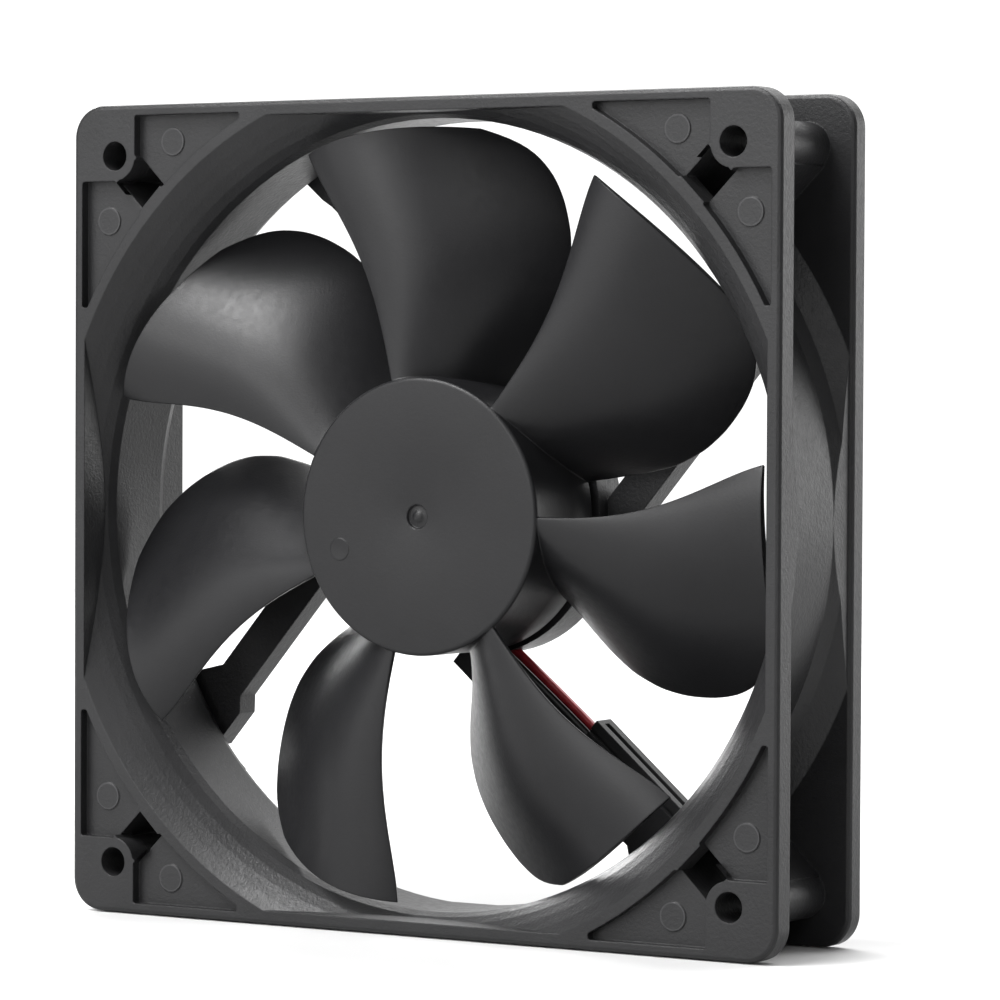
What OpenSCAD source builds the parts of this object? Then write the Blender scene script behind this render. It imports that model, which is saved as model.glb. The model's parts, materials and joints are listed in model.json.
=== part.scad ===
// 120 mm brushless case fan with sleeve bearing, stator, rotor and a tied two-wire lead.
// Millimetres. Stands on its lower edge: front (intake) faces -Y, airflow runs +Y, +Z up.

/* [Frame] */
// Width and height of the square frame
side = 120; // [80:5:140]
// Depth of the frame, front face to rear face
depth = 25; // [20:1:38]
// Outer corner radius
corner_r = 4.8; // [2:0.1:8]
// Rounding of the outer flange edges
edge_r = 0.6; // [0.2:0.1:1]
// Thickness of the front flange
front_flange = 4.2; // [3:0.1:6]
// Thickness of the rear flange
rear_flange = 3.6; // [3:0.1:6]
// Distance between screw holes
hole_pitch = 105; // [71.5:0.5:125]
// Screw hole diameter
hole_d = 4.3; // [3:0.1:5]
// Outside diameter of the screw bosses
boss_d = 7.1; // [6:0.1:9]
// Width of the straight bars where the duct meets the frame side
bar = 2; // [1.2:0.1:3]

/* [Duct] */
// Radius of the duct throat around the blades
throat_r = 57.2; // [50:0.1:58]
// Radius of the front bell mouth at the front face
bell_r = 63.3; // [58:0.1:66]
// Radius of the rear mouth at the rear face
outlet_r = 62.3; // [58:0.1:66]
// Depth of the bell mouth
bell_depth = 7; // [4:0.5:10]
// Width of the ring lip on the front face
lip = 1.5; // [1:0.1:3]
// Wall thickness of the duct
wall = 2.2; // [1.5:0.1:3]

/* [Struts and motor base] */
// Direction of the strut that carries the wires, degrees
strut_dir = 319.5; // [310:0.5:330]
// Near edge of each strut, measured from the axis
strut_in = 15; // [8:0.5:16]
// Far edge of each strut, measured from the axis
strut_out = 20.5; // [18:0.5:24]
// Front face of the struts, depth from the front
strut_top = 21; // [20:0.1:22]
// Near edge of the wire channel beside the wire strut
channel_in = 10.3; // [9:0.1:12]
// Radius of the motor base
base_r = 20.5; // [18:0.1:24]

/* [Impeller] */
// Number of blades
blades = 7; // [5:1:9]
// Radius over the blade tips
tip_r = 56; // [50:0.1:56.4]
// Outside radius of the hub
hub_r = 20; // [18:0.1:24]
// Depth of the hub face behind the front face
hub_front = 1.9; // [1:0.1:4]
// Depth of the hub rim
hub_rear = 17.5; // [14:0.1:18]
// Blade thickness at mid chord
blade_t = 1.7; // [1:0.1:3]
// Depth of the trailing edges
blade_rear = 17.2; // [14:0.1:18.5]

/* [Motor] */
// Shaft diameter
shaft_d = 3; // [2:0.1:5]
// Radial running clearance of the shaft
shaft_gap = 0.04; // [0.01:0.01:0.1]
// Outside radius of the stator poles
stator_r = 14.6; // [12:0.1:16]
// Number of stator poles
poles = 4; // [4:1:9]

/* [Lead] */
// Wire diameter over the insulation
wire_d = 1.4; // [1:0.1:2]
// Mean diameter of the stored coil
coil_mean = 16.8; // [14:0.1:24]
// Height and width of the bundle of turns
coil_t = 4.2; // [3:0.1:6]

/* [Hidden] */
$fn = 96;
s2 = side / 2;
h2 = hole_pitch / 2;
bell_rim = bell_r + lip;
duct_wall_r = throat_r + wall;
base_floor = 22.6;
pcb_z = 19.1;
tube_or = 4.7;
tube_ir = 3.5;
yoke_r = 18.1;
magnet_r = 17.2;
magnet_ir = 15.1;
bush_r = 3.2;
washer_r = 1.15;
cap_depth = 24.6;
pad_depth = 22.9;
stack_front = 8.4;
stack_rear = 14.6;
label_r = 17.3;
label_step = 0.3;
lip_fn = 144;

// Recesses in the corners of both flanges.
pocket_front = 1.5;
pocket_rear = 1.2;
pocket_edge = 58.5;
gusset = 5.2;
web_t = 1.2;
mark_r = 2.05;
mark_near = 42.9;
mark_far = 54.5;

// The four struts, from the wire strut on: how far each foot widens and how far each strut sits off its place.
strut_foot = [0.3, 1.6, 0.3, 1.6];
strut_shift = [0, -1.1, 1.4, 0];

// Wire runs: offsets beside the wire strut, the coil on the floor and the connector.
red_off = 12.25;
black_off = 13.75;
coil_c = [32, 28.4];
coil_z = 2.5;
pin_rows = [34.8, 37.3];

// Fan frame of reference: x right and y up seen from the front, z = -depth.
module place() {
  translate([0, -depth / 2, s2]) rotate([90, 0, 0]) children();
}

// A round plate between two depths.
module disc(r, d0, d1) {
  translate([0, 0, -d1]) cylinder(r = r, h = d1 - d0);
}

// A ring between two depths.
module ring(ro, ri, d0, d1) {
  difference() {
    disc(ro, d0, d1);
    disc(ri, d0 - 1, d1 + 1);
  }
}

// An upright slab with rounded corners between two depths.
module slab(w, r, d0, d1) {
  translate([0, 0, -d1]) linear_extrude(d1 - d0) offset(r = r, $fn = 64) square(w - 2 * r, center = true);
}

// A flange: a slab whose outer edges are rounded over.
module flange(d0, d1) {
  hull() {
    slab(side - 2 * edge_r, corner_r - edge_r, d0, d1);
    slab(side - 0.6 * edge_r, corner_r - 0.3 * edge_r, d0 + 0.3 * edge_r, d1 - 0.3 * edge_r);
    slab(side, corner_r, d0 + edge_r, d1 - edge_r);
  }
}

// Bell curve of the duct: radius against depth.
function duct_r(d) = d < bell_depth ? throat_r + (bell_r - throat_r) * pow(1 - d / bell_depth, 1.5)
  : d > depth - bell_depth ? throat_r + (outlet_r - throat_r) * pow((d - depth + bell_depth) / bell_depth, 1.4)
  : throat_r;
front_curve = [for (i = [0 : 5]) [duct_r(i * bell_depth / 5), -i * bell_depth / 5]];
rear_curve = [for (i = [5 : -1 : 0]) [duct_r(depth - i * bell_depth / 5), -depth + i * bell_depth / 5]];

module duct_void() {
  intersection() {
    rotate_extrude($fn = lip_fn) polygon(concat([[0, 1], [bell_r, 1]], front_curve, rear_curve,
      [[outlet_r, -depth - 1], [0, -depth - 1]]));
    translate([0, 0, -depth / 2]) cube([side - 2 * bar, side - 2 * bar, depth + 4], center = true);
  }
}

module duct_outer() {
  intersection() {
    rotate_extrude($fn = lip_fn) polygon([[0, 0], [bell_rim, 0], [bell_rim, -2.4],
      [duct_wall_r + 1.6, -front_flange], [duct_wall_r, -6.4], [duct_wall_r, -17], [duct_wall_r + 1, -19.2],
      [outlet_r + 1.5, -depth + rear_flange], [outlet_r + 1.5, -depth], [0, -depth]]);
    slab(side - 2 * edge_r, corner_r, 0, depth);
  }
}

// The two mirrored triangular pockets of one corner, first quadrant.
module pocket_outline() {
  difference() {
    intersection() {
      translate([30, 30]) square(pocket_edge - 30);
      difference() {
        square(pocket_edge);
        circle(r = bell_rim + 0.1, $fn = lip_fn);
      }
    }
    translate([h2, h2]) circle(r = boss_d / 2 + 0.1);
    translate([48.8, 48.9]) square([20, 20]);
    translate([h2 - 3.4, h2]) square([12, 12]);
    translate([h2, h2 - 3.4]) square([12, 12]);
    rotate(45) translate([62, -gusset / 2]) square([20, gusset]);
  }
}

module pockets(d0, d1) {
  for (q = [0 : 3]) {
    rotate(90 * q) translate([0, 0, -d1]) linear_extrude(d1 - d0) {
      offset(r = 0.4, $fn = 24) offset(r = -0.4) pocket_outline();
    }
  }
}

// Through windows on the diagonals, between duct and boss.
module windows(d0, d1) {
  for (q = [0 : 3]) {
    rotate(90 * q) translate([0, 0, -d1]) linear_extrude(d1 - d0) difference() {
      rotate(45) translate([bell_rim + 0.4, -gusset / 2]) square([6, gusset]);
      translate([h2, h2]) circle(r = boss_d / 2 + 0.1);
    }
  }
}

module ejector_marks() {
  for (q = [0 : 3]) {
    rotate(90 * q) {
      translate([mark_near, mark_far, -pocket_front]) cylinder(r = mark_r, h = 0.35, center = true, $fn = 40);
      translate([mark_far, mark_near, -pocket_front]) cylinder(r = mark_r, h = 0.35, center = true, $fn = 40);
    }
  }
}

// A bar laid along one strut direction: offsets o0 to o1, run t0 to t1, depths d0 to d1.
module strut_box(o0, o1, t0, t1, d0, d1) {
  translate([t0, -o1, -d1]) cube([t1 - t0, o1 - o0, d1 - d0]);
}

// One spoke running past the hub to the duct, moved sideways by shift, widened by foot on its near side.
module strut(foot, shift) {
  near = strut_in + shift;
  far = strut_out + shift;
  start = sqrt(max(64, pow(label_r + 0.6, 2) - near * near));
  strut_box(near, far, start, 57.6, strut_top, depth);
  translate([0, 0, -depth]) linear_extrude(depth - strut_top) {
    polygon([[49, -far], [52.5, -far - 2.6], [57.8, -far - 2.6], [59.2, -near + foot], [52.5, -near + foot],
      [50.5, -near]]);
  }
}

module wire_channel() {
  // Side rail with a groove along its outer face, front cover with a step, and two hooks for the wires.
  difference() {
    strut_box(channel_in, channel_in + 1.2, 33.5, 58.6, strut_top, depth);
    strut_box(channel_in - 1, channel_in + 0.6, 34.3, 60, strut_top + 1.3, strut_top + 2.5);
  }
  difference() {
    strut_box(channel_in, strut_in + 0.5, 33.5, 53, strut_top, strut_top + 0.9);
    strut_box(channel_in + 1.5, channel_in + 2.1, 33, 54, strut_top - 1, strut_top + 0.4);
  }
  strut_box(channel_in + 1.1, channel_in + 1.7, 35, 38, depth - 1, depth);
  strut_box(channel_in + 1.1, channel_in + 1.7, 45, 48, depth - 1, depth);
}

module motor_base() {
  difference() {
    disc(base_r, 18.7, depth);
    disc(base_r - 1.5, 18, base_floor);
    // Slot in the rim for the wires.
    rotate(strut_dir) strut_box(11.5, 14.9, 10, 24, 18, base_floor);
    // Recess for the label.
    disc(label_r + 0.3, depth - label_step, depth + 1);
    disc(tube_ir, 0, depth + 1);
  }
  difference() {
    disc(tube_or, 7.4, base_floor + 0.1);
    disc(tube_ir, 0, depth);
  }
  // Shoulder under the stator and stop for the oil washer.
  ring(tube_or + 0.9, tube_or - 0.1, 15.4, base_floor + 0.1);
  // Three posts under the circuit board.
  for (a = [40, 160, 280]) {
    rotate(a) translate([15.8, 0, -base_floor - 0.1]) cylinder(r = 1.1, h = base_floor - pcb_z - 0.9, $fn = 32);
  }
}

module corner_boss() {
  difference() {
    translate([h2, h2, -depth]) cylinder(d = boss_d, h = depth);
    translate([h2, h2, -depth - 1]) cylinder(d = hole_d, h = depth + 2);
  }
}

// Two webs per corner, flange to flange, that tie the boss to the duct and wall in the window.
module corner_webs() {
  for (side_at = [gusset / 2, -gusset / 2 - web_t]) {
    rotate(45) translate([duct_wall_r - 0.6, side_at, -depth + rear_flange - 0.1]) {
      cube([h2 * sqrt(2) - duct_wall_r + 0.6, web_t, depth - front_flange - rear_flange + 0.2]);
    }
  }
}

module frame() {
  color("#3c3c40") place() {
    difference() {
      union() {
        flange(0, front_flange);
        flange(depth - rear_flange, depth);
        duct_outer();
      }
      duct_void();
      pockets(-1, pocket_front);
      pockets(depth - pocket_rear, depth + 1);
      windows(-1, front_flange + 0.1);
      windows(depth - rear_flange - 0.1, depth + 1);
      for (x = [-h2, h2], y = [-h2, h2]) {
        translate([x, y, -depth - 1]) cylinder(d = hole_d, h = depth + 2, $fn = 48);
      }
    }
    ejector_marks();
    for (q = [0 : 3]) {
      rotate(90 * q) corner_boss();
      rotate(90 * q) corner_webs();
      rotate(strut_dir + 90 * q) strut(strut_foot[q], strut_shift[q]);
    }
    rotate(strut_dir) wire_channel();
    motor_base();
  }
}

// ---- impeller ----
// Leading-edge and trailing-edge angles by radius, degrees from the blade datum.
lead_edge = [[18, 1], [24, 0.6], [30, 1.2], [36, 2.4], [42, 4.2], [48, 6.3], [54, 8.4], [56, 8.2]];
trail_edge = [[18, -35.5], [24, -37.5], [30, -38.7], [35, -38.7], [40, -37], [44, -34.6], [48, -31.5],
  [51, -28.7], [53.5, -25.5], [55, -22.5], [56, -18]];
// The trailing edge as it would run without its rounded tip corner.
trail_full = [[18, -35.5], [24, -37.5], [30, -38.7], [35, -38.7], [40, -37], [44, -34.6], [48, -31.8],
  [56, -28.5]];
// Depth of the leading edge by radius.
lead_depth = [[18, 2.5], [30, 2.8], [56, 4]];
root_r = 19;
n_span = 13;
n_chord = 10;

// Camber of the section from leading edge (w = 0) to trailing edge (w = 1), for the root and for the tip.
function root_camber(w) = 0.2 * w + 0.8 * w * w;
function tip_camber(w) = -1.19 * w + 3.77 * w * w - 1.58 * w * w * w;
function camber(w, k) = (1 - k) * root_camber(w) + k * tip_camber(w);
function chord_part(a, r) = (lookup(r, lead_edge) - a) / (lookup(r, lead_edge) - lookup(r, trail_full));
function span_part(r) = max(0, min(1, (r - hub_r) / (tip_r - hub_r)));
function blade_depth(a, r) = let (d0 = lookup(r, lead_depth))
  d0 + (blade_rear - d0) * camber(chord_part(a, r), span_part(r));

// Half thickness, thin and rounded at both edges and thinner to the tip.
function bulge(w) = 0.32 + 0.68 * pow(sin(180 * min(1, max(0, w))), 0.6);
function half_t(w, r) = 0.5 * (blade_t - 0.5 * (r - root_r) / (tip_r - root_r)) * bulge(w);

// Points of the front skin (+1) and rear skin (-1), pushed off the camber surface along its normal.
function span_r(i) = root_r + (tip_r - root_r) * (1 - pow(1 - i / n_span, 1.35));
function chord_a(j, r) = let (w = (1 - cos(180 * j / n_chord)) / 2)
  lookup(r, lead_edge) * (1 - w) + lookup(r, trail_edge) * w;
function skin_point(a, r, t, slope) = let (f = sqrt(1 + slope * slope), b = a - t * slope / f * 180 / PI / r)
  [r * cos(b), r * sin(b), -blade_depth(a, r) + t / f];
function slope_at(a, r) = (blade_depth(a - 0.5, r) - blade_depth(a + 0.5, r)) / (r * PI / 180);
function skin(i, j, side_sign) = let (r = span_r(i), a = chord_a(j, r), w = (1 - cos(180 * j / n_chord)) / 2)
  skin_point(a, r, half_t(w, r) * side_sign, slope_at(a, r));

n_row = n_chord + 1;
n_skin = (n_span + 1) * n_row;
blade_points = [for (s = [1, -1], i = [0 : n_span], j = [0 : n_chord]) skin(i, j, s)];
// Two triangles across the corners a, b, c, d.
function two(a, b, c, d) = [[a, b, c], [a, c, d]];
front_faces = [for (i = [0 : n_span - 1], j = [0 : n_chord - 1], q = i * n_row + j)
  each two(q, q + n_row, q + n_row + 1, q + 1)];
rear_faces = [for (i = [0 : n_span - 1], j = [0 : n_chord - 1], q = n_skin + i * n_row + j)
  each two(q, q + 1, q + n_row + 1, q + n_row)];
root_faces = [for (j = [0 : n_chord - 1]) each two(j, j + 1, n_skin + j + 1, n_skin + j)];
tip_faces = [for (j = [0 : n_chord - 1], q = n_span * n_row + j)
  each two(q, n_skin + q, n_skin + q + 1, q + 1)];
lead_faces = [for (i = [0 : n_span - 1], q = i * n_row)
  each two(q, n_skin + q, n_skin + q + n_row, q + n_row)];
trail_faces = [for (i = [0 : n_span - 1], q = i * n_row + n_chord)
  each two(q, q + n_row, n_skin + q + n_row, n_skin + q)];
blade_faces = concat(front_faces, rear_faces, root_faces, tip_faces, lead_faces, trail_faces);

module blade() {
  polyhedron(points = blade_points, faces = blade_faces, convexity = 4);
}

module hub() {
  difference() {
    rotate_extrude() polygon([[0, -hub_front], [hub_r - 0.6, -hub_front], [hub_r - 0.2, -hub_front - 0.2],
      [hub_r, -hub_front - 0.6], [hub_r, -hub_rear], [yoke_r, -hub_rear], [yoke_r, -3.9], [0, -3.9]]);
    // Gate dimple and one ejector mark in the face.
    translate([0, 0, -hub_front - 0.45]) cylinder(r = 1.75, h = 1, $fn = 48);
    translate([-13.3, -5, -hub_front - 0.12]) cylinder(r = 1.6, h = 1, $fn = 40);
  }
  // Gate stub standing in the dimple.
  translate([0, 0, -hub_front - 0.5]) cylinder(r1 = 1, r2 = 0.7, h = 0.45, $fn = 24);
}

module impeller() {
  color("#35353a") place() {
    hub();
    difference() {
      for (k = [0 : blades - 1]) {
        rotate(k * 360 / blades) blade();
      }
      disc(hub_r - 0.9, 0, depth);
    }
  }
}

module rotor_yoke() {
  color("#9a9da3") place() difference() {
    disc(yoke_r, 3.9, 17.2);
    disc(magnet_r, 4.8, 18);
    disc(bush_r, 3, 6);
  }
}

module magnet_ring() {
  color("#2b2a2c") place() ring(magnet_r, magnet_ir, 6, 16.9);
}

module shaft_bush() {
  color("#b79a58") place() ring(bush_r, shaft_d / 2, 3.9, 6.8);
}

module rotor_shaft() {
  color("#c9ccd2") place() difference() {
    union() {
      disc(shaft_d / 2, 4.2, 21.9);
      translate([0, 0, -22.2]) cylinder(r1 = shaft_d / 2 - 0.35, r2 = shaft_d / 2, h = 0.31, $fn = 48);
    }
    // Groove for the retaining clip.
    ring(3, washer_r, 20.6, 21.2);
  }
}

module retaining_clip() {
  color("#d8d8d2") place() difference() {
    ring(2.6, washer_r, 20.65, 21.15);
    translate([0, 0, -22]) linear_extrude(3) polygon([[0, 0], [-0.7, -4], [0.7, -4]]);
  }
}

module sleeve_bearing() {
  color("#a9824a") place() ring(tube_ir, shaft_d / 2 + shaft_gap, 8.4, 19.9);
}

module oil_washer() {
  color("#1d1d1f") place() ring(tube_ir, shaft_d / 2 + 0.25, 7.6, 8.3);
}

module thrust_pad() {
  color("#e9e6da") place() disc(tube_ir, 22.25, pad_depth);
}

module bearing_cap() {
  color("#26262a") place() disc(tube_ir, pad_depth, cap_depth);
}

// ---- stator ----
module pole_outline() {
  for (k = [0 : poles - 1]) {
    rotate(45 + k * 360 / poles) {
      translate([6, -1.6]) square([7.2, 3.2]);
      intersection() {
        difference() {
          circle(r = stator_r);
          circle(r = stator_r - 1.7);
        }
        polygon([[0, 0], [20, -15.4], [20, 15.4]]);
      }
    }
  }
}

module stator_core() {
  color("#74777d") place() translate([0, 0, -stack_rear]) linear_extrude(stack_rear - stack_front) {
    difference() {
      union() {
        circle(r = 7.2);
        pole_outline();
      }
      circle(r = tube_or);
    }
  }
}

// Moulded insulator: a hub ring, an arm cover on each pole and a flange at each arm end.
module insulator(d0, d1, up) {
  ring(7.6, tube_or, d0, d1);
  for (k = [0 : poles - 1]) {
    rotate(45 + k * 360 / poles) {
      translate([7, -1.9, -d1]) cube([6.2, 3.8, d1 - d0]);
      translate([12.4, -4.2, up ? -d1 : -d1 - 0.9]) cube([0.9, 8.4, d1 - d0 + 0.9]);
      translate([7.2, -3, up ? -d1 : -d1 - 0.9]) cube([0.9, 6, d1 - d0 + 0.9]);
    }
  }
}

module insulator_front() {
  color("#d9d3c4") place() insulator(stack_front - 0.8, stack_front, true);
}

module insulator_rear() {
  color("#d9d3c4") place() insulator(stack_rear, stack_rear + 0.8, false);
}

module stator_windings() {
  color("#b4642e") place() for (k = [0 : poles - 1]) {
    rotate(45 + k * 360 / poles) difference() {
      translate([8.1, -3.2, -16.2]) cube([4.3, 6.4, 9.5]);
      translate([7, -1.9, -15.4]) cube([7, 3.8, 7.8]);
    }
  }
}

module circuit_board() {
  color("#2f6b45") place() ring(18.4, tube_or + 1, pcb_z, pcb_z + 1);
}

module hall_sensor() {
  color("#1f1f22") place() rotate(70) translate([13.2, -1.5, -pcb_z]) cube([1.6, 3, 0.9]);
}

module driver_chip() {
  color("#202024") place() rotate(200) translate([9, -2.5, -pcb_z]) cube([4, 5, 1.4]);
}

module capacitor() {
  color("#8a6a44") place() rotate(150) translate([10.5, -1, -pcb_z]) cube([3.4, 2, 1.3]);
}

module small_chips() {
  color("#2a2a2c") place() for (a = [0, 25, 110, 250, 300]) {
    rotate(a) translate([12.4, -0.8, -pcb_z]) cube([1, 1.6, 0.5]);
  }
}

// A point along the wire strut: run t, offset o, depth d.
function along(t, o, d) = let (a = strut_dir) [t * cos(a) + o * sin(a), t * sin(a) - o * cos(a), -d];

module solder_joints() {
  color("#c4c6ca") place() for (o = [red_off, black_off]) {
    translate(along(7, o, pcb_z + 1.3)) cylinder(r1 = 0.6, r2 = 1.05, h = 0.3, $fn = 32);
  }
}

module rear_label() {
  color("#dcdcdf") place() disc(label_r, depth - label_step, depth - label_step / 2);
}

// ---- lead ----
function world(p) = [p[0], -depth / 2 - p[2], s2 + p[1]];
wr = wire_d / 2;
// From the board, along the strut, round the rim of the duct and down to the floor; dx and dz part the wires.
function run_out(o) = [for (p = [[6, 1.8], [12, 2.2], [20, 3], [30, 3.6], [42, 3.7], [50, 3.9], [54, 5.2]])
  world(along(p[0], o, pcb_z + p[1]))];
function run_down(dx, dz) = [[34.2 + dx, 14.6, 11.3 + dz], [35.2 + dx, 15.6, 8.2 + dz],
  [36.5 + dx, 17.2, 5 + dz], [38.2 + dx, 19.8, 2.2 + dz / 2], [39.5 + dx, 23, 1.1],
  [40.3 + dx, 26, 1.08], [40.4 + dx, 28.4, 1.08]];
red_route = concat(run_out(red_off), run_down(1.6, 0.9));
black_route = concat(run_out(black_off), run_down(0, 0));
// From the top of the coil to the connector, one row per wire.
red_tail_route = [[32, 38.22, 3.92], [29, 38.2, 3.85], [26, 37.9, 3.2], [23, 37.4, 2.3], [20.5, 37.3, 2.1],
  [18, 37.3, 2.1]];
black_tail_route = [[32, 36.8, 3.92], [29, 36.7, 3.85], [26, 35.9, 3.2], [23, 35, 2.3], [20.5, 34.8, 2.1],
  [18, 34.8, 2.1]];

// Smooth curve through the route points, and a round tube swept along it.
function bend(a, b, c, d, t) = 0.5 * (2 * b + (c - a) * t + (2 * a - 5 * b + 4 * c - d) * t * t
  + (3 * b - a - 3 * c + d) * t * t * t);
function piece(p, i, t) = bend(p[max(0, i - 1)], p[i], p[i + 1], p[min(len(p) - 1, i + 2)], t);
function curve(p, n) = concat([for (i = [0 : len(p) - 2], k = [0 : n - 1]) piece(p, i, k / n)],
  [p[len(p) - 1]]);
function unit(v) = v / norm(v);
function heading(c, i) = unit(c[min(len(c) - 1, i + 1)] - c[max(0, i - 1)]);
function frames(c, i = 0, n = [0.3, 0, 1], out = []) = i >= len(c) ? out
  : let (t = heading(c, i), m = unit(n - (n * t) * t)) frames(c, i + 1, m, concat(out, [[m, cross(t, m)]]));

module tube(route, r, steps) {
  c = curve(route, steps);
  f = frames(c);
  n = len(c);
  k = 8;
  pts = [for (i = [0 : n - 1], j = [0 : k - 1], a = 360 * j / k)
    c[i] + r * (cos(a) * f[i][0] + sin(a) * f[i][1])];
  sides = [for (i = [0 : n - 2], j = [0 : k - 1], u = (j + 1) % k)
    each two(i * k + j, (i + 1) * k + j, (i + 1) * k + u, i * k + u)];
  start = [for (j = [0 : k - 1]) j];
  finish = [for (j = [k - 1 : -1 : 0]) (n - 1) * k + j];
  polyhedron(points = pts, faces = concat(sides, [start], [finish]), convexity = 6);
}

module red_wire() {
  color("#7c1f24") tube(red_route, wr, 4);
}

module black_wire() {
  color("#1a1a1c") tube(black_route, wr, 4);
}

// The stored length: all turns of both wires as one round ring lying on the floor.
module lead_coil() {
  color("#5a2226") translate([coil_c[0], coil_c[1], coil_z]) rotate_extrude($fn = 72) {
    translate([coil_mean / 2, 0]) offset(r = coil_t / 2 - 1, $fn = 32) square(2, center = true);
  }
}

// Tie wrapped round the ring on the side away from the frame.
module lead_tie() {
  color("#26262a") translate([coil_c[0], coil_c[1], coil_z]) rotate(-100) translate([coil_mean / 2, 0, 0]) {
    difference() {
      cube([coil_t + 0.8, 2.4, coil_t + 0.8], center = true);
      cube([coil_t, 4, coil_t], center = true);
    }
  }
}

module red_tail() {
  color("#7c1f24") tube(red_tail_route, wr, 3);
}

module black_tail() {
  color("#1a1a1c") tube(black_tail_route, wr, 3);
}

module connector_housing() {
  color("#e4e2da") difference() {
    translate([9.5, 33, 0]) cube([11, 6.1, 4.4]);
    // Two blind crimp cavities and the open mating face.
    for (y = pin_rows) {
      translate([15, y - 0.8, 1.3]) cube([6, 1.6, 1.6]);
      translate([9, y - 0.55, 1.55]) cube([7, 1.1, 1.1]);
    }
    translate([11.5, 32, 3.9]) cube([4, 8, 1]);
  }
}

module connector_pins() {
  color("#c7a55a") for (y = pin_rows) {
    translate([10.2, y - 0.5, 1.55]) cube([7.8, 1, 0.4]);
  }
}

frame();
sleeve_bearing();
oil_washer();
thrust_pad();
bearing_cap();
stator_core();
insulator_front();
insulator_rear();
stator_windings();
circuit_board();
hall_sensor();
driver_chip();
capacitor();
small_chips();
solder_joints();
rear_label();
impeller();
rotor_yoke();
magnet_ring();
shaft_bush();
rotor_shaft();
retaining_clip();
red_wire();
black_wire();
lead_coil();
lead_tie();
red_tail();
black_tail();
connector_housing();
connector_pins();
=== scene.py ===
"""Case fan: materials, smooth impeller, lead wires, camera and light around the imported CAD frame.

Lengths are millimetres unless a comment says metres, and MM turns them into metres.
In the CAD frame X is to the right, Y goes towards the outlet side, Z is up and the origin is under the fan.
"""
import json
import math

import bmesh
import bpy
import numpy
from mathutils import Matrix, Vector


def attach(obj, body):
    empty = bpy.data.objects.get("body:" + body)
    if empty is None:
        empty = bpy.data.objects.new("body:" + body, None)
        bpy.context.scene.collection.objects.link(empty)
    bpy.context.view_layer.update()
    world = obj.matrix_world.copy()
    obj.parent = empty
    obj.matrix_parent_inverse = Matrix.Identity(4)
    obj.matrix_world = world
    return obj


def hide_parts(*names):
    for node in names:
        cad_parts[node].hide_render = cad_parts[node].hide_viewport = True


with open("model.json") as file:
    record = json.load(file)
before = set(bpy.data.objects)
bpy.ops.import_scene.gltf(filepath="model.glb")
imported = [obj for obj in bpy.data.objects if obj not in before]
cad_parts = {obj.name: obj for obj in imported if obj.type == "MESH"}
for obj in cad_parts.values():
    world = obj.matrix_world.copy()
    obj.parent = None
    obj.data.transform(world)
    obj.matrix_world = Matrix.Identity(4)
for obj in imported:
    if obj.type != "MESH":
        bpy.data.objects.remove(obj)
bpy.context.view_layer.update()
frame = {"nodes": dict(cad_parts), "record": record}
nodes = frame["nodes"]
MM = 0.001
HALF_SIDE = 60.0     # half the frame's width
HALF_DEPTH = 12.5    # half the frame's depth


def from_fan(x, y, depth):
    """A point in metres from the fan's own axes: x right, y up from the shaft, depth from the front face."""
    return Vector((x, depth - HALF_DEPTH, y + HALF_SIDE)) * MM


def add_object(name, data):
    obj = bpy.data.objects.new(name, data)
    bpy.context.scene.collection.objects.link(obj)
    return obj


# ---- camera ----
CAMERA_AT = Vector((364.24, -571.59, 81.51)) * MM
CAMERA_YAW = math.radians(31.975)     # to the left of straight ahead
CAMERA_PITCH = math.radians(1.632)    # downwards
CAMERA_ROLL = math.radians(0.281)
CAMERA_LENS = 168.24
CAMERA_SENSOR = 36


def add_camera():
    right = Vector((math.cos(CAMERA_YAW), math.sin(CAMERA_YAW), 0))
    ahead = Vector((-math.sin(CAMERA_YAW), math.cos(CAMERA_YAW), 0))
    up = Vector((0, 0, 1))
    ahead_down = ahead * math.cos(CAMERA_PITCH) - up * math.sin(CAMERA_PITCH)
    up_tilted = up * math.cos(CAMERA_PITCH) + ahead * math.sin(CAMERA_PITCH)
    right_rolled = right * math.cos(CAMERA_ROLL) + up_tilted * math.sin(CAMERA_ROLL)
    up_rolled = up_tilted * math.cos(CAMERA_ROLL) - right * math.sin(CAMERA_ROLL)
    data = bpy.data.cameras.new("camera")
    data.lens = CAMERA_LENS
    data.sensor_width = CAMERA_SENSOR
    data.sensor_fit = "HORIZONTAL"
    data.clip_start = 0.01
    data.clip_end = 20
    camera = add_object("camera", data)
    turn = Matrix((right_rolled, up_rolled, -ahead_down)).transposed().to_4x4()
    camera.matrix_world = Matrix.Translation(CAMERA_AT) @ turn
    bpy.context.scene.camera = camera


add_camera()

# ---- cords: the two lead wires, on the same points as the CAD tubes ----
WIRE_D = 1.4
SPOKE_DIR = math.radians(319.5)     # direction of the spoke that carries the wires
BOARD_BACK = 20.1                   # depth of the board's back face
# Points beside the spoke, as (distance from the shaft, distance behind the board).
BESIDE_SPOKE = [(6, 0.8), (12, 1.2), (20, 2.0), (30, 2.6), (42, 2.7), (50, 2.9), (54, 4.2)]


def along(run, offset, depth):
    """A point at a distance from the shaft along the spoke, and at an offset from the spoke's axis."""
    x = run * math.cos(SPOKE_DIR) + offset * math.sin(SPOKE_DIR)
    y = run * math.sin(SPOKE_DIR) - offset * math.cos(SPOKE_DIR)
    return (x, depth - HALF_DEPTH, y + HALF_SIDE)


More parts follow.
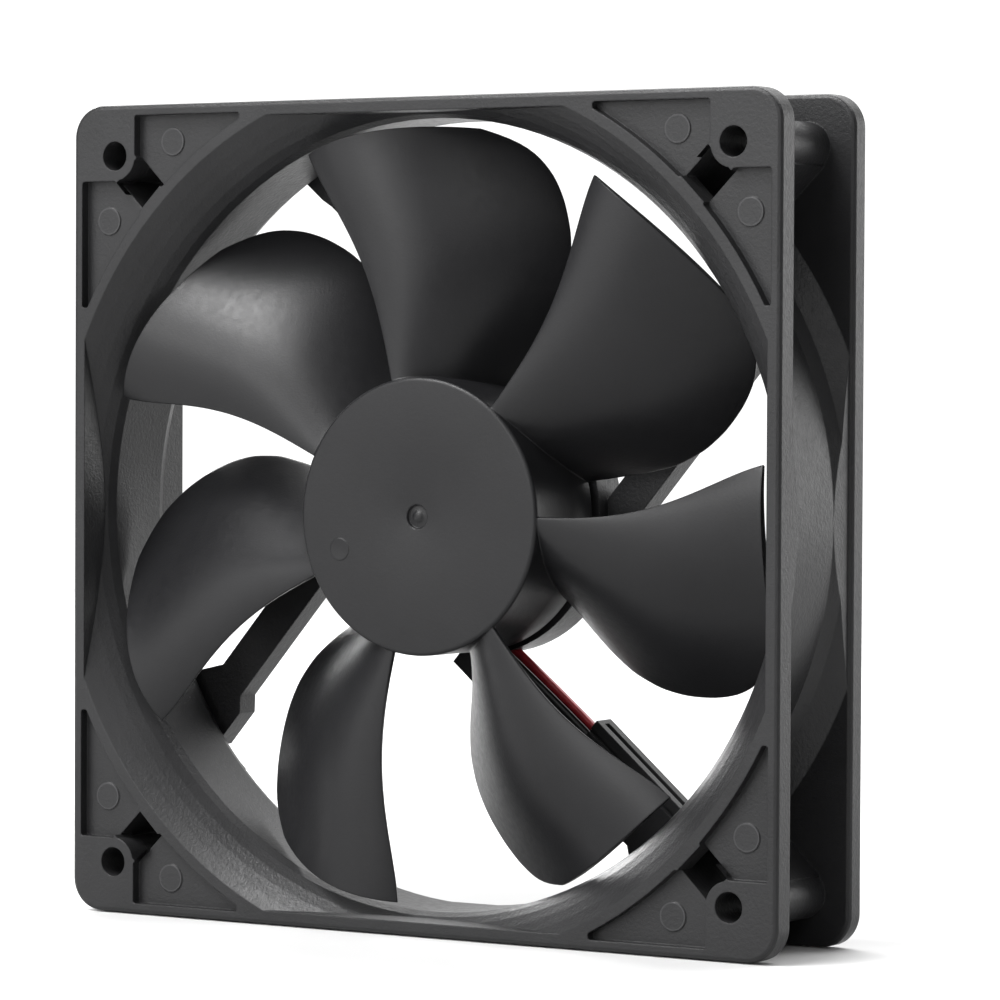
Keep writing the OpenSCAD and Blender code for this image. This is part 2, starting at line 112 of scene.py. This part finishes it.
def lead_route(offset, dx, dz):
    """Beside the spoke, then down to the coil; dx and dz keep one wire clear of the other on the way."""
    down = [(34.2 + dx, 14.6, 11.3 + dz), (35.2 + dx, 15.6, 8.2 + dz), (36.5 + dx, 17.2, 5 + dz),
            (38.2 + dx, 19.8, 2.2 + dz / 2), (39.5 + dx, 23, 1.1), (40.3 + dx, 26, 1.08),
            (40.4 + dx, 28.4, 1.08)]
    return [along(run, offset, BOARD_BACK + back) for run, back in BESIDE_SPOKE] + down


ROUTE_STEPS = 6


def smooth(points):
    """Catmull-Rom curve through the points, as in the CAD tubes."""
    out = []
    last = len(points) - 1
    for i in range(last):
        a, b, c, d = (Vector(points[max(0, min(last, j))]) for j in (i - 1, i, i + 1, i + 2))
        for k in range(ROUTE_STEPS):
            t = k / ROUTE_STEPS
            out.append(0.5 * (2 * b + (c - a) * t + (2 * a - 5 * b + 4 * c - d) * t * t
                              + (3 * b - a - 3 * c + d) * t ** 3))
    return out + [Vector(points[last])]


COIL_AT = (32.0, 28.4)
COIL_Z = 2.5
COIL_R = 8.4
TURN_GAP = 1.42                  # between neighbouring slots of the bundle
TURNS = 3.25
STEPS_PER_TURN = 36
MOVE_AT, MOVE_OVER = 0.72, 0.2   # part of a turn where the wire moves to its next slot, and how long it takes
# Slot of each turn in the bundle, as (column out from the middle, layer up from the middle).
RED_SLOTS = [(1, -1), (1, 0), (0, 0), (1, 1)]
BLACK_SLOTS = [(0, -1), (-1, -1), (-1, 0), (0, 1)]
# From the coil to the plug.
RED_TAIL = [(32, 38.22, 3.92), (29, 38.2, 3.85), (26, 37.9, 3.2), (23, 37.4, 2.3), (20.5, 37.3, 2.1),
            (18, 37.3, 2.1)]
BLACK_TAIL = [(32, 36.8, 3.92), (29, 36.7, 3.85), (26, 35.9, 3.2), (23, 35, 2.3), (20.5, 34.8, 2.1),
              (18, 34.8, 2.1)]


def coil_points(slots):
    """Turns laid beside and on each other: each keeps its slot, then moves over late in the turn."""
    out = []
    for k in range(1, int(TURNS * STEPS_PER_TURN)):
        turn, part = divmod(k / STEPS_PER_TURN, 1)
        here = Vector(slots[int(turn)])
        after = Vector(slots[min(int(turn) + 1, len(slots) - 1)])
        move = min(1, max(0, (part - MOVE_AT) / MOVE_OVER))
        move = move * move * (3 - 2 * move)
        column, layer = here.lerp(after, move) * TURN_GAP
        a = part * math.tau
        r = COIL_R + column
        out.append(Vector((COIL_AT[0] + r * math.cos(a), COIL_AT[1] + r * math.sin(a), COIL_Z + layer)))
    return out


def tube_mesh(name, line):
    """A closed round tube of the wire's diameter along the line."""
    curve = bpy.data.curves.new(name, "CURVE")
    curve.dimensions = "3D"
    curve.bevel_depth = WIRE_D / 2 * MM
    curve.bevel_resolution = 4
    curve.use_fill_caps = True
    spline = curve.splines.new("POLY")
    spline.points.add(len(line) - 1)
    for point, place in zip(spline.points, line):
        point.co = (*(place * MM), 1)
    swept = add_object(name + "_line", curve)
    mesh = bpy.data.meshes.new_from_object(swept.evaluated_get(bpy.context.evaluated_depsgraph_get()))
    bpy.data.objects.remove(swept)
    bpy.data.curves.remove(curve)
    mesh.name = name
    mesh.shade_smooth()
    mesh.set_sharp_from_angle(angle=math.radians(60))
    return mesh


def make_wire(name, route, slots, tail, cad_nodes):
    line = smooth(route) + coil_points(slots) + smooth(tail)
    wire = add_object(name, tube_mesh(name, line))
    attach(wire, "housing")
    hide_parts(*cad_nodes)
    return wire


red_wire = make_wire("lead_red", lead_route(12.25, 1.6, 0.9), RED_SLOTS, RED_TAIL,
                     ["red_wire", "red_tail", "lead_coil"])
black_wire = make_wire("lead_black", lead_route(13.75, 0, 0), BLACK_SLOTS, BLACK_TAIL,
                       ["black_wire", "black_tail"])

# ---- materials ----
MARK_NEAR, MARK_FAR = 42.9, 54.5     # centres of the round ejector marks, from the shaft across and up
MARK_R = 1.8
MARK_RIM_R = 2.05
MARK_COLOUR = (0.015, 0.015, 0.0157, 1)
# The rim band's lighter colour is a painted highlight along the marks' raised rims.
MARK_RIM_HIGHLIGHT_COLOUR = (0.03, 0.03, 0.031, 1)
COARSE_BUMP = 0.00005     # depth of the surface grain, metres
FINE_BUMP = 0.00002
WORN_EDGE = 0.0003        # rounding of the moulded edges, metres
GLOSS_CHANGE = 0.04       # how far the roughness wanders either way


def new_material(name, rough, **sockets):
    material = bpy.data.materials.new(name)
    material.use_nodes = True
    tree = material.node_tree
    shader = tree.nodes["Principled BSDF"]
    shader.inputs["Roughness"].default_value = rough
    for socket, value in sockets.items():
        shader.inputs[socket.replace("_", " ")].default_value = value
    return material, tree, shader


def noise(tree, scale, detail=3.0):
    """Noise in object coordinates; scale is in features per metre. Gives its value output."""
    place = tree.nodes.new("ShaderNodeTexCoord")
    node = tree.nodes.new("ShaderNodeTexNoise")
    tree.links.new(place.outputs["Object"], node.inputs["Vector"])
    node.inputs["Scale"].default_value = scale
    node.inputs["Detail"].default_value = detail
    node.inputs["Roughness"].default_value = 0.55
    return node.outputs["Fac"]


def ramp(tree, source, stops):
    """A colour ramp on a socket, with stops of (position, colour). Gives its colour output."""
    node = tree.nodes.new("ShaderNodeValToRGB")
    elements = node.color_ramp.elements
    elements.remove(elements[1])
    for i, (at, colour) in enumerate(stops):
        element = elements[0] if i == 0 else elements.new(at)
        element.position = at
        element.color = (*colour, 1)
    tree.links.new(source, node.inputs["Fac"])
    return node.outputs["Color"]


def grey(value):
    return (value, value, value)


def add_bump(tree, shader, layers, edge=0.0):
    """Chains bump nodes, given as (height socket, distance, strength), into the shader's normal."""
    previous = None
    if edge:
        bevel = tree.nodes.new("ShaderNodeBevel")
        bevel.samples = 4
        bevel.inputs["Radius"].default_value = edge
        previous = bevel.outputs["Normal"]
    for height, distance, strength in layers:
        bump = tree.nodes.new("ShaderNodeBump")
        bump.inputs["Distance"].default_value = distance
        bump.inputs["Strength"].default_value = strength
        tree.links.new(height, bump.inputs["Height"])
        if previous:
            tree.links.new(previous, bump.inputs["Normal"])
        previous = bump.outputs["Normal"]
    tree.links.new(previous, shader.inputs["Normal"])


def math_node(tree, operation, first, second=None):
    """A Math node on a socket and a number or a second socket. Gives its output."""
    node = tree.nodes.new("ShaderNodeMath")
    node.operation = operation
    tree.links.new(first, node.inputs[0])
    if isinstance(second, (int, float)):
        node.inputs[1].default_value = second
    elif second:
        tree.links.new(second, node.inputs[1])
    return node.outputs[0]


def ejector_masks(tree):
    """Masks of the eight ejector marks on the front corners, with their rims and without; the rim band
    carries a painted highlight.
    """
    place = tree.nodes.new("ShaderNodeTexCoord")
    split = tree.nodes.new("ShaderNodeSeparateXYZ")
    tree.links.new(place.outputs["Object"], split.inputs["Vector"])
    across = math_node(tree, "ABSOLUTE", split.outputs["X"])
    up = math_node(tree, "ABSOLUTE", math_node(tree, "SUBTRACT", split.outputs["Z"], HALF_SIDE * MM))
    corner = tree.nodes.new("ShaderNodeCombineXYZ")
    tree.links.new(across, corner.inputs["X"])
    tree.links.new(up, corner.inputs["Y"])
    gaps = []
    for centre in ((MARK_NEAR, MARK_FAR), (MARK_FAR, MARK_NEAR)):
        gap = tree.nodes.new("ShaderNodeVectorMath")
        gap.operation = "DISTANCE"
        tree.links.new(corner.outputs["Vector"], gap.inputs[0])
        gap.inputs[1].default_value = (centre[0] * MM, centre[1] * MM, 0)
        gaps.append(gap.outputs["Value"])
    nearest = math_node(tree, "MINIMUM", *gaps)
    in_front = math_node(tree, "LESS_THAN", split.outputs["Y"], 0.0)
    return [math_node(tree, "MULTIPLY", math_node(tree, "LESS_THAN", nearest, radius * MM), in_front)
            for radius in (MARK_RIM_R, MARK_R)]


def moulded_plastic(name, dark, light, rough, grain, grain_scale, marks=False):
    """Matt moulded plastic: faint flow clouds, spark-eroded grain and slight changes of gloss."""
    material, tree, shader = new_material(name, rough, Specular_IOR_Level=0.2)
    colour = ramp(tree, noise(tree, 60, 4), [(0.3, dark), (0.7, light)])
    if marks:
        # The rim band gets the painted highlight colour, the inside gets the mark's own tone.
        for mask, mark_colour in zip(ejector_masks(tree), (MARK_RIM_HIGHLIGHT_COLOUR, MARK_COLOUR)):
            mix = tree.nodes.new("ShaderNodeMix")
            mix.data_type = "RGBA"
            tree.links.new(mask, mix.inputs["Factor"])
            tree.links.new(colour, mix.inputs["A"])
            mix.inputs["B"].default_value = mark_colour
            colour = mix.outputs["Result"]
    tree.links.new(colour, shader.inputs["Base Color"])
    gloss = [(0.3, grey(rough - GLOSS_CHANGE)), (0.7, grey(rough + GLOSS_CHANGE))]
    tree.links.new(ramp(tree, noise(tree, 900), gloss), shader.inputs["Roughness"])
    coarse = noise(tree, grain_scale, 2)
    fine = noise(tree, 2.3 * grain_scale, 1)
    add_bump(tree, shader, [(coarse, COARSE_BUMP, grain), (fine, FINE_BUMP, grain)], WORN_EDGE)
    return material


def plain_noise(name, dark, light, scale, rough, bump, metallic=0.0):
    """A speckled surface between two colours, raised a little where it is lighter."""
    material, tree, shader = new_material(name, rough, Metallic=metallic)
    spots = noise(tree, scale)
    tree.links.new(ramp(tree, spots, [(0.35, dark), (0.65, light)]), shader.inputs["Base Color"])
    add_bump(tree, shader, [(spots, COARSE_BUMP, bump)])
    return material


looks = {
    "frame_plastic": moulded_plastic("frame_plastic", (0.011, 0.011, 0.0115), (0.0155, 0.0155, 0.0162),
                                     0.38, 1.0, 1900, marks=True),
    "impeller_plastic": moulded_plastic("impeller_plastic", (0.006, 0.006, 0.0065), (0.008, 0.008, 0.0087),
                                        0.36, 0.3, 2600),
}
# Dark and light colour, spots per metre, roughness, bump and, for metals, how metallic.
SPECKLED = {
    "sintered_bronze": ((0.28, 0.17, 0.07), (0.5, 0.33, 0.16), 2500, 0.45, 0.6, 1.0),
    "black_washer": ((0.015, 0.015, 0.016), (0.03, 0.03, 0.03), 900, 0.5, 0.2),
    "thrust_plastic": ((0.75, 0.72, 0.63), (0.84, 0.81, 0.73), 700, 0.4, 0.1),
    "cap_rubber": ((0.02, 0.02, 0.021), (0.035, 0.035, 0.036), 1200, 0.65, 0.3),
    "insulator_plastic": ((0.70, 0.66, 0.56), (0.80, 0.77, 0.68), 500, 0.42, 0.1),
    "chip_black": ((0.012, 0.012, 0.013), (0.024, 0.024, 0.025), 3000, 0.5, 0.3),
    "capacitor_body": ((0.35, 0.22, 0.12), (0.46, 0.31, 0.18), 1500, 0.35, 0.1),
    "solder": ((0.55, 0.56, 0.58), (0.75, 0.76, 0.78), 1500, 0.22, 0.2, 1.0),
    "magnet": ((0.025, 0.024, 0.024), (0.045, 0.043, 0.042), 1800, 0.6, 0.4),
    "bush_brass": ((0.6, 0.42, 0.15), (0.75, 0.56, 0.24), 900, 0.25, 0.1, 1.0),
    "shaft_steel": ((0.6, 0.61, 0.63), (0.75, 0.76, 0.78), 1500, 0.16, 0.05, 1.0),
    "clip_plastic": ((0.7, 0.7, 0.66), (0.82, 0.82, 0.78), 900, 0.4, 0.1),
    "yoke_steel": ((0.45, 0.46, 0.48), (0.6, 0.61, 0.63), 300, 0.3, 0.1, 1.0),
    "laminations": ((0.3, 0.31, 0.33), (0.42, 0.43, 0.45), 800, 0.4, 0.2, 1.0),
    "copper_wire": ((0.5, 0.17, 0.05), (0.65, 0.27, 0.1), 600, 0.25, 0.1, 0.9),
    "board_green": ((0.02, 0.12, 0.05), (0.035, 0.18, 0.075), 250, 0.3, 0.05),
    "label_blank": ((0.29, 0.29, 0.295), (0.315, 0.315, 0.32), 1400, 0.35, 0.05),
    "red_insulation": ((0.20, 0.008, 0.014), (0.30, 0.014, 0.022), 900, 0.32, 0.1),
    "black_insulation": ((0.010, 0.010, 0.011), (0.018, 0.018, 0.019), 900, 0.32, 0.1),
    "tie_black": ((0.015, 0.015, 0.016), (0.026, 0.026, 0.027), 800, 0.4, 0.1),
    "connector_plastic": ((0.50, 0.48, 0.43), (0.58, 0.56, 0.51), 500, 0.4, 0.1),
    "contact_brass": ((0.6, 0.45, 0.2), (0.75, 0.6, 0.3), 900, 0.25, 0.1, 1.0),
}
for slot, settings in SPECKLED.items():
    looks[slot] = plain_noise(slot, *settings)
looks["coil_wires"] = looks["red_insulation"]


def wear(obj, slot):
    """Gives a piece one material, the one made for the given slot."""
    obj.data.materials.clear()
    obj.data.materials.append(looks[slot])


for part in frame["record"]["subparts"]:
    cad = nodes[part["node"]]
    for i in range(len(cad.material_slots)):
        cad.material_slots[i].material = looks[part["material_slot"]]
wear(red_wire, "red_insulation")
wear(black_wire, "black_insulation")

# ---- impeller: hub cup and blades ----
HUB_R = 20.0
HUB_FRONT = 1.9        # depth of the hub's face
HUB_REAR = 17.5
HUB_EDGE_R = 0.6       # rounding of the hub's front edge
HUB_STEP_AT = 12.0     # depth where the hub's wall steps out
HUB_STEP = 0.03
HUB_BORE_R = 18.12
HUB_BORE_FRONT = 3.92
HUB_MARK = (-13.3, -5.0)     # centre of the ejector mark on the hub's face
TIP_R = 56.0
BLADES = 7
BLADE_REAR = 17.2      # depth of the blades' trailing edge
BLADE_T = 1.7          # thickness at mid chord next to the hub
TIP_THINNING = 0.5     # how much thinner the tip is
THIN_FROM_R = 19
EDGE_SHARE, MID_SHARE = 0.32, 0.68     # thickness at the edges, and what mid chord adds, as shares
THICKNESS_POWER = 0.6
ROOT_R = 18.9          # the blades start inside the hub's wall
SPAN_BIAS = 1.35       # above 1, the points crowd towards the tip
N_SPAN = 44
N_CHORD = 36


def lookup(x, table):
    if x <= table[0][0]:
        return table[0][1]
    for (x0, y0), (x1, y1) in zip(table, table[1:]):
        if x <= x1:
            return y0 + (y1 - y0) * (x - x0) / (x1 - x0)
    return table[-1][1]


def fair(table, degree):
    """The table of (x, y) as one smooth polynomial, sampled finely, so the skin has no ripples."""
    xs, ys = zip(*table)
    middle = (xs[0] + xs[-1]) / 2
    curve = numpy.polyfit([x - middle for x in xs], ys, degree)
    fine = [xs[0] + (xs[-1] - xs[0]) * i / 400 for i in range(401)]
    return [(x, float(numpy.polyval(curve, x - middle))) for x in fine]


def rounded(table, passes):
    """The table with its corners rounded off a little."""
    lo, hi = table[0][0], table[-1][0]
    xs = [lo + (hi - lo) * i / 160 for i in range(161)]
    ys = [lookup(x, table) for x in xs]
    for _ in range(passes):
        ys = [ys[0]] + [(a + 2 * b + c) / 4 for a, b, c in zip(ys, ys[1:], ys[2:])] + [ys[-1]]
    return list(zip(xs, ys))


# Blade outline against the radius: directions of both edges in degrees, and depth of the leading edge.
# The full trailing edge has no cut corner, so it sets the twist and the other one sets the outline.
LEAD_EDGE = fair([(18, 1), (24, 0.6), (30, 1.2), (36, 2.4), (42, 4.2), (48, 6.3), (54, 8.4), (56, 8.2)], 4)
TRAIL_EDGE = rounded([(18, -35.5), (24, -37.5), (30, -38.7), (35, -38.7), (40, -37), (44, -34.6), (48, -31.5),
                      (51, -28.7), (53.5, -25.5), (55, -22.5), (56, -18)], 20)
TRAIL_FULL = fair([(18, -35.5), (24, -37.5), (30, -38.7), (35, -38.7), (40, -37), (44, -34.6), (48, -31.8),
                   (56, -28.5)], 4)
LEAD_DEPTH = fair([(18, 2.5), (30, 2.8), (56, 4)], 2)


def blade_depth(angle, r):
    """Depth of the blade's middle surface, which goes over from its root shape to its tip shape."""
    lead = lookup(r, LEAD_EDGE)
    w = (lead - angle) / (lead - lookup(r, TRAIL_FULL))
    k = max(0, min(1, (r - HUB_R) / (TIP_R - HUB_R)))
    front = lookup(r, LEAD_DEPTH)
    root = 0.2 * w + 0.8 * w * w
    tip = -1.19 * w + 3.77 * w * w - 1.58 * w ** 3
    return front + (BLADE_REAR - front) * ((1 - k) * root + k * tip)


def blade_point(i, j, side):
    """Point of the blade's skin at span step i and chord step j; side is 1 in front and -1 behind."""
    u = i / N_SPAN
    r = ROOT_R + (TIP_R - ROOT_R) * (1 - (1 - u) ** SPAN_BIAS)
    w = (1 - math.cos(math.pi * j / N_CHORD)) / 2
    lead, trail = lookup(r, LEAD_EDGE), lookup(r, TRAIL_EDGE)
    angle = lead + (trail - lead) * w
    slope = (blade_depth(angle - 0.5, r) - blade_depth(angle + 0.5, r)) / (r * math.pi / 180)
    thickness = BLADE_T - TIP_THINNING * (r - THIN_FROM_R) / (TIP_R - THIN_FROM_R)
    half = 0.5 * thickness * (EDGE_SHARE + MID_SHARE * math.sin(math.pi * w) ** THICKNESS_POWER) * side
    run = math.sqrt(1 + slope * slope)
    b = math.radians(angle) - half * slope / run / r
    return from_fan(r * math.cos(b), r * math.sin(b), blade_depth(angle, r) - half / run)


def add_blades(bm):
    steps = [(i, j, s) for i in range(N_SPAN + 1) for j in range(N_CHORD + 1) for s in (1, -1)]
    grid = {key: blade_point(*key) for key in steps}
    centre = from_fan(0, 0, 0)
    for k in range(BLADES):
        turn = Matrix.Rotation(-k * math.tau / BLADES, 3, "Y")
        verts = {key: bm.verts.new(centre + turn @ (place - centre)) for key, place in grid.items()}
        for i in range(N_SPAN):
            for j in range(N_CHORD):
                for s in (1, -1):
                    face = [verts[i, j, s], verts[i + 1, j, s], verts[i + 1, j + 1, s], verts[i, j + 1, s]]
                    bm.faces.new(face[::s])
        for i in range(N_SPAN):
            for j, flip in ((0, 1), (N_CHORD, -1)):
                face = [verts[i, j, 1], verts[i, j, -1], verts[i + 1, j, -1], verts[i + 1, j, 1]]
                bm.faces.new(face[::flip])
        for j in range(N_CHORD):
            for i, flip in ((0, 1), (N_SPAN, -1)):
                face = [verts[i, j, 1], verts[i, j, -1], verts[i, j + 1, -1], verts[i, j + 1, 1]]
                bm.faces.new(face[::flip])


def add_lathe(bm, profile, segments, centre=(0, 0)):
    """Turns a (radius, depth) profile about an axis along Y; a radius of 0 is a single point."""
    rings = []
    for r, depth in profile:
        if r == 0:
            rings.append([bm.verts.new(from_fan(*centre, depth))])
        else:
            rings.append([bm.verts.new(from_fan(centre[0] + r * math.cos(math.tau * k / segments),
                                                centre[1] + r * math.sin(math.tau * k / segments), depth))
                          for k in range(segments)])
    for one, two in zip(rings, rings[1:]):
        for k in range(segments):
            m = (k + 1) % segments
            quad = [one[k % len(one)], one[m % len(one)], two[m % len(two)], two[k % len(two)]]
            corners = [v for n, v in enumerate(quad) if v not in quad[:n]]
            bm.faces.new(corners)


def rounded_corner(r_at, depth_at, radius, steps):
    """Profile points of a quarter circle, from the face out to the wall."""
    angles = [math.radians(-90 + 90 * k / steps) for k in range(steps + 1)]
    return [(r_at + radius * math.cos(a), depth_at + radius * math.sin(a)) for a in angles]


def make_impeller():
    bm = bmesh.new()
    add_blades(bm)
    face = HUB_FRONT
    gate_mark = [(0, face + 0.1), (0.5, face + 0.12), (0.75, face + 0.3), (1.0, face + 0.42),
                 (1.6, face + 0.45), (1.75, face + 0.05), (1.95, face)]
    edge = rounded_corner(HUB_R - HUB_EDGE_R, face + HUB_EDGE_R, HUB_EDGE_R, 6)
    proud = HUB_R + HUB_STEP
    wall = [(HUB_R, HUB_STEP_AT), (proud, HUB_STEP_AT + 0.05), (proud, HUB_REAR - 0.25),
            (HUB_R - 0.2, HUB_REAR)]
    inside = [(HUB_BORE_R + 0.18, HUB_REAR), (HUB_BORE_R, HUB_REAR - 0.2), (HUB_BORE_R, HUB_BORE_FRONT),
              (0, HUB_BORE_FRONT)]
    add_lathe(bm, gate_mark + edge + wall + inside, 160)
    # A thin disc with a raised rim, its back inside the hub's face.
    ejector_mark = [(0, face - 0.02), (1.3, face - 0.02), (1.42, face - 0.05), (1.56, face - 0.05),
                    (1.62, face + 0.05), (0, face + 0.05)]
    add_lathe(bm, ejector_mark, 40, HUB_MARK)
    bmesh.ops.recalc_face_normals(bm, faces=bm.faces)
    mesh = bpy.data.meshes.new("impeller_moulding")
    bm.to_mesh(mesh)
    bm.free()
    mesh.shade_smooth()
    mesh.set_sharp_from_angle(angle=math.radians(40))
    impeller = add_object("impeller_moulding", mesh)
    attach(impeller, "rotor")
    wear(impeller, "impeller_plastic")
    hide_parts("impeller")


make_impeller()

# ---- stage: floor, light ----
FLOOR_R = 2.1              # metres, as all sizes of the stage
FLOOR_AT = (0, -1.2, -0.0002)
MIDDLE = (0, 0, 0.06)
BEHIND = (0, 0.35, 0)
WORLD_FRONT = 0.22         # brightness of the world on the fan's front side; behind the fan it is 1
WORLD_STRENGTH = 1.2


def add_floor():
    bpy.ops.mesh.primitive_circle_add(vertices=128, radius=FLOOR_R, fill_type="NGON", location=FLOOR_AT)
    floor = bpy.context.object
    floor.name = "floor"
    material, tree, shader = new_material("pale_floor", 0.7)
    mottle = ramp(tree, noise(tree, 6, 4), [(0.3, grey(0.49)), (0.7, grey(0.51))])
    tree.links.new(mottle, shader.inputs["Base Color"])
    floor.data.materials.append(material)


def add_world():
    """White behind the fan, dimmer on the other sides."""
    world = bpy.data.worlds.new("studio")
    world.use_nodes = True
    tree = world.node_tree
    place = tree.nodes.new("ShaderNodeTexCoord")
    split = tree.nodes.new("ShaderNodeSeparateXYZ")
    tree.links.new(place.outputs["Generated"], split.inputs["Vector"])
    stops = [(0.0, grey(WORLD_FRONT)), (0.6, grey(WORLD_FRONT)), (0.72, grey(1))]
    shade = ramp(tree, split.outputs["Y"], stops)
    tree.links.new(shade, tree.nodes["Background"].inputs["Color"])
    tree.nodes["Background"].inputs["Strength"].default_value = WORLD_STRENGTH
    bpy.context.scene.world = world


def add_area(name, place, target, size, power):
    data = bpy.data.lights.new(name, "AREA")
    data.shape = "RECTANGLE"
    data.size, data.size_y = size
    data.energy = power
    light = add_object(name, data)
    light.location = place
    light.rotation_euler = (Vector(target) - Vector(place)).to_track_quat("-Z", "Y").to_euler()


add_floor()
add_world()
add_area("key", (-0.146, -0.584, 0.859), MIDDLE, (0.4, 0.4), 6.7)
add_area("key_left", (-0.345, -0.452, 0.885), MIDDLE, (0.35, 0.35), 10.5)
add_area("fill", (-0.398, -0.749, 0.59), MIDDLE, (0.4, 0.4), 3.6)
add_area("front", (-0.45, -0.85, 0.3), MIDDLE, (1.0, 0.6), 5)
add_area("right", (0.557, -0.663, 0.56), MIDDLE, (0.4, 0.4), 1.5)
add_area("front_low", (0, -0.966, 0.319), MIDDLE, (0.6, 0.4), 2.3)
add_area("back_left", (-0.793, 0.535, 0.352), MIDDLE, (0.3, 0.3), 5)
add_area("side", (0.498, 0.863, 0.147), MIDDLE, (0.5, 0.5), 2.2)
add_area("top", (0, 0.6, 1.0), BEHIND, (1.4, 0.8), 22)
bpy.context.scene.view_settings.view_transform = "Standard"

bpy.context.view_layer.update()
